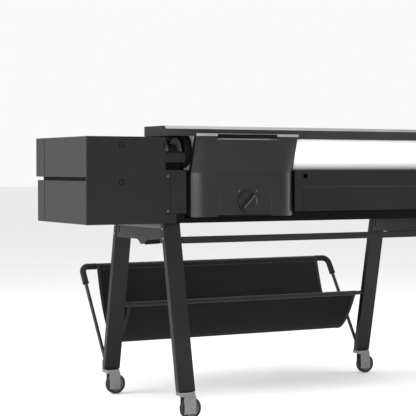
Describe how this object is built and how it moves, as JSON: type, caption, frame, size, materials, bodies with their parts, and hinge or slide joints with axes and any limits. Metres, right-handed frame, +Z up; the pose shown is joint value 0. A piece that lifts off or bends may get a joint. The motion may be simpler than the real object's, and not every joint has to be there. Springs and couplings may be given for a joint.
{
  "type": "large format plotter",
  "caption": "Wide roll-fed inkjet plotter on a wheeled stand, with a loaded paper roll, trim bin with turn lock, hinged covers and a fabric catch basket.",
  "frame": {"origin": "on the floor, under the middle of the whole machine", "axes": "+X along the machine towards the housing with the ink, -Y the side where the roll is loaded, +Y the side where prints come out, +Z up"},
  "size_m": [1.802, 0.9126, 0.998],
  "materials": {
    "cover": "fine moulded grain, satin",
    "panel": "fine powder coat",
    "bin": "fine moulded grain, satin",
    "steel": "zinc-plated",
    "dark_steel": "powder coat",
    "silver": "satin anodised",
    "black": "satin",
    "grey": "satin",
    "paper": "matte coated paper",
    "rubber": "matte",
    "fabric": "woven",
    "window": "tinted, polished",
    "screen": "polished"
  },
  "bodies": {
    "frame": {"left_rear_panel": "panel", "left_upper_cover": "cover", "left_lower_cover": "cover", "right_rear_panel": "panel", "right_cover": "cover", "base_beam": "dark_steel", "side_plate_left": "steel", "side_plate_right": "steel", "beam_panel": "panel", "roll_trough": "panel", "spindle_support_left": "panel", "spindle_support_right": "panel", "front_fascia": "cover", "platen": "black", "carriage_rail": "steel", "drive_belt": "rubber", "service_station": "grey", "electronics_box": "steel", "power_inlet": "black", "leg_left_near": "dark_steel", "leg_left_far": "dark_steel", "leg_right_near": "dark_steel", "leg_right_far": "dark_steel", "crossbar": "dark_steel", "stand_bracket_left": "dark_steel", "stand_bracket_right": "dark_steel", "basket_frame": "black", "basket_back_bar": "dark_steel", "basket_fabric": "fabric", "ink_bay": "black"},
    "roll": {"spindle": "black", "spindle_hub_right": "black", "paper_roll": "paper"},
    "roll_cover": {"roll_cover": "cover", "roll_cover_strip": "silver"},
    "window": {"top_window": "window"},
    "carriage": {"carriage": "black"},
    "pulley_drive": {"belt_pulley_drive": "steel"},
    "pulley_idler": {"belt_pulley_idler": "steel"},
    "feed_roller": {"feed_roller": "steel"},
    "pinch_rollers": {"pinch_rollers": "rubber"},
    "cutter": {"cutter": "black"},
    "trim_bin": {"trim_bin": "bin", "bin_lip": "silver"},
    "bin_knob": {"bin_knob": "bin"},
    "touch_panel": {"touch_panel": "screen"},
    "power_button": {"power_button": "silver"},
    "power_switch": {"power_switch": "black"},
    "cartridge_1": {"ink_cartridge_1": "grey"},
    "cartridge_2": {"ink_cartridge_2": "grey"},
    "cartridge_3": {"ink_cartridge_3": "grey"},
    "cartridge_4": {"ink_cartridge_4": "grey"},
    "caster_left_near": {"caster_fork_left_near": "steel"},
    "wheel_left_near": {"caster_wheel_left_near": "rubber"},
    "caster_left_far": {"caster_fork_left_far": "steel"},
    "wheel_left_far": {"caster_wheel_left_far": "rubber"},
    "caster_right_near": {"caster_fork_right_near": "steel"},
    "wheel_right_near": {"caster_wheel_right_near": "rubber"},
    "caster_right_far": {"caster_fork_right_far": "steel"},
    "wheel_right_far": {"caster_wheel_right_far": "rubber"}
  },
  "joints": [
    {"name": "roll_spin", "type": "hinge", "parent": "frame", "child": "roll", "pos_m": [0, -0.2568, 0.9145], "axis": [1, 0, 0], "continuous": true},
    {"name": "roll_cover_hinge", "type": "hinge", "parent": "frame", "child": "roll_cover", "pos_m": [0, -0.1868, 0.994], "axis": [-1, 0, 0], "range_deg": [0, 75]},
    {"name": "window_hinge", "type": "hinge", "parent": "frame", "child": "window", "pos_m": [0, -0.1768, 0.957], "axis": [1, 0, 0], "range_deg": [0, 70]},
    {"name": "carriage_slide", "type": "slide", "parent": "frame", "child": "carriage", "axis": [1, 0, 0], "range_m": [0, 1.55]},
    {"name": "drive_pulley_turn", "type": "hinge", "parent": "frame", "child": "pulley_drive", "pos_m": [-0.856, -0.1633, 0.888], "axis": [0, 1, 0], "range_deg": [-10, 6800]},
    {"name": "idler_pulley_turn", "type": "hinge", "parent": "frame", "child": "pulley_idler", "pos_m": [0.859, -0.1633, 0.888], "axis": [0, 1, 0], "range_deg": [-10, 6800]},
    {"name": "feed_roller_turn", "type": "hinge", "parent": "frame", "child": "feed_roller", "pos_m": [0, -0.0718, 0.8215], "axis": [1, 0, 0], "continuous": true},
    {"name": "pinch_rollers_turn", "type": "hinge", "parent": "frame", "child": "pinch_rollers", "pos_m": [0, -0.0718, 0.8414], "axis": [1, 0, 0], "continuous": true},
    {"name": "cutter_slide", "type": "slide", "parent": "frame", "child": "cutter", "axis": [1, 0, 0], "range_m": [0, 1.3]},
    {"name": "bin_slide", "type": "slide", "parent": "frame", "child": "trim_bin", "axis": [0, -1, 0], "range_m": [0, 0.16]},
    {"name": "bin_knob_turn", "type": "hinge", "parent": "trim_bin", "child": "bin_knob", "pos_m": [-0.29, -0.3648, 0.736], "axis": [0, -1, 0], "range_deg": [0, 90]},
    {"name": "touch_panel_tilt", "type": "hinge", "parent": "frame", "child": "touch_panel", "pos_m": [-0.756, 0.1037, 0.9455], "axis": [1, 0, 0], "range_deg": [0, 60]},
    {"name": "power_button_press", "type": "slide", "parent": "frame", "child": "power_button", "axis": [0, -1, 0], "range_m": [0, 0.002], "stiffness_N_per_m": 400},
    {"name": "power_switch_rock", "type": "hinge", "parent": "frame", "child": "power_switch", "pos_m": [0.829, -0.3528, 0.76], "axis": [-1, 0, 0], "range_deg": [0, 12]},
    {"name": "cartridge_1_slide", "type": "slide", "parent": "frame", "child": "cartridge_1", "axis": [0, 1, 0], "range_m": [0, 0.22]},
    {"name": "cartridge_2_slide", "type": "slide", "parent": "frame", "child": "cartridge_2", "axis": [0, 1, 0], "range_m": [0, 0.22]},
    {"name": "cartridge_3_slide", "type": "slide", "parent": "frame", "child": "cartridge_3", "axis": [0, 1, 0], "range_m": [0, 0.22]},
    {"name": "cartridge_4_slide", "type": "slide", "parent": "frame", "child": "cartridge_4", "axis": [0, 1, 0], "range_m": [0, 0.22]},
    {"name": "swivel_left_near", "type": "hinge", "parent": "frame", "child": "caster_left_near", "pos_m": [-0.5725, -0.43133, 0.095], "axis": [0, 0, 1], "continuous": true},
    {"name": "wheel_turn_left_near", "type": "hinge", "parent": "caster_left_near", "child": "wheel_left_near", "pos_m": [-0.5545, -0.43133, 0.0375], "axis": [0, 1, 0], "continuous": true},
    {"name": "swivel_left_far", "type": "hinge", "parent": "frame", "child": "caster_left_far", "pos_m": [-0.5725, 0.17773, 0.095], "axis": [0, 0, 1], "continuous": true},
    {"name": "wheel_turn_left_far", "type": "hinge", "parent": "caster_left_far", "child": "wheel_left_far", "pos_m": [-0.5545, 0.17773, 0.0375], "axis": [0, 1, 0], "continuous": true},
    {"name": "swivel_right_near", "type": "hinge", "parent": "frame", "child": "caster_right_near", "pos_m": [0.5725, -0.43133, 0.095], "axis": [0, 0, 1], "continuous": true},
    {"name": "wheel_turn_right_near", "type": "hinge", "parent": "caster_right_near", "child": "wheel_right_near", "pos_m": [0.5905, -0.43133, 0.0375], "axis": [0, 1, 0], "continuous": true},
    {"name": "swivel_right_far", "type": "hinge", "parent": "frame", "child": "caster_right_far", "pos_m": [0.5725, 0.17773, 0.095], "axis": [0, 0, 1], "continuous": true},
    {"name": "wheel_turn_right_far", "type": "hinge", "parent": "caster_right_far", "child": "wheel_right_far", "pos_m": [0.5905, 0.17773, 0.0375], "axis": [0, 1, 0], "continuous": true}
  ],
  "couplings": [
    {"joint": "drive_pulley_turn", "follows": "carriage_slide", "rad_per_m": 76.336},
    {"joint": "idler_pulley_turn", "follows": "carriage_slide", "rad_per_m": 76.336},
    {"joint": "pinch_rollers_turn", "follows": "feed_roller_turn", "ratio": -1.4375}
  ]
}
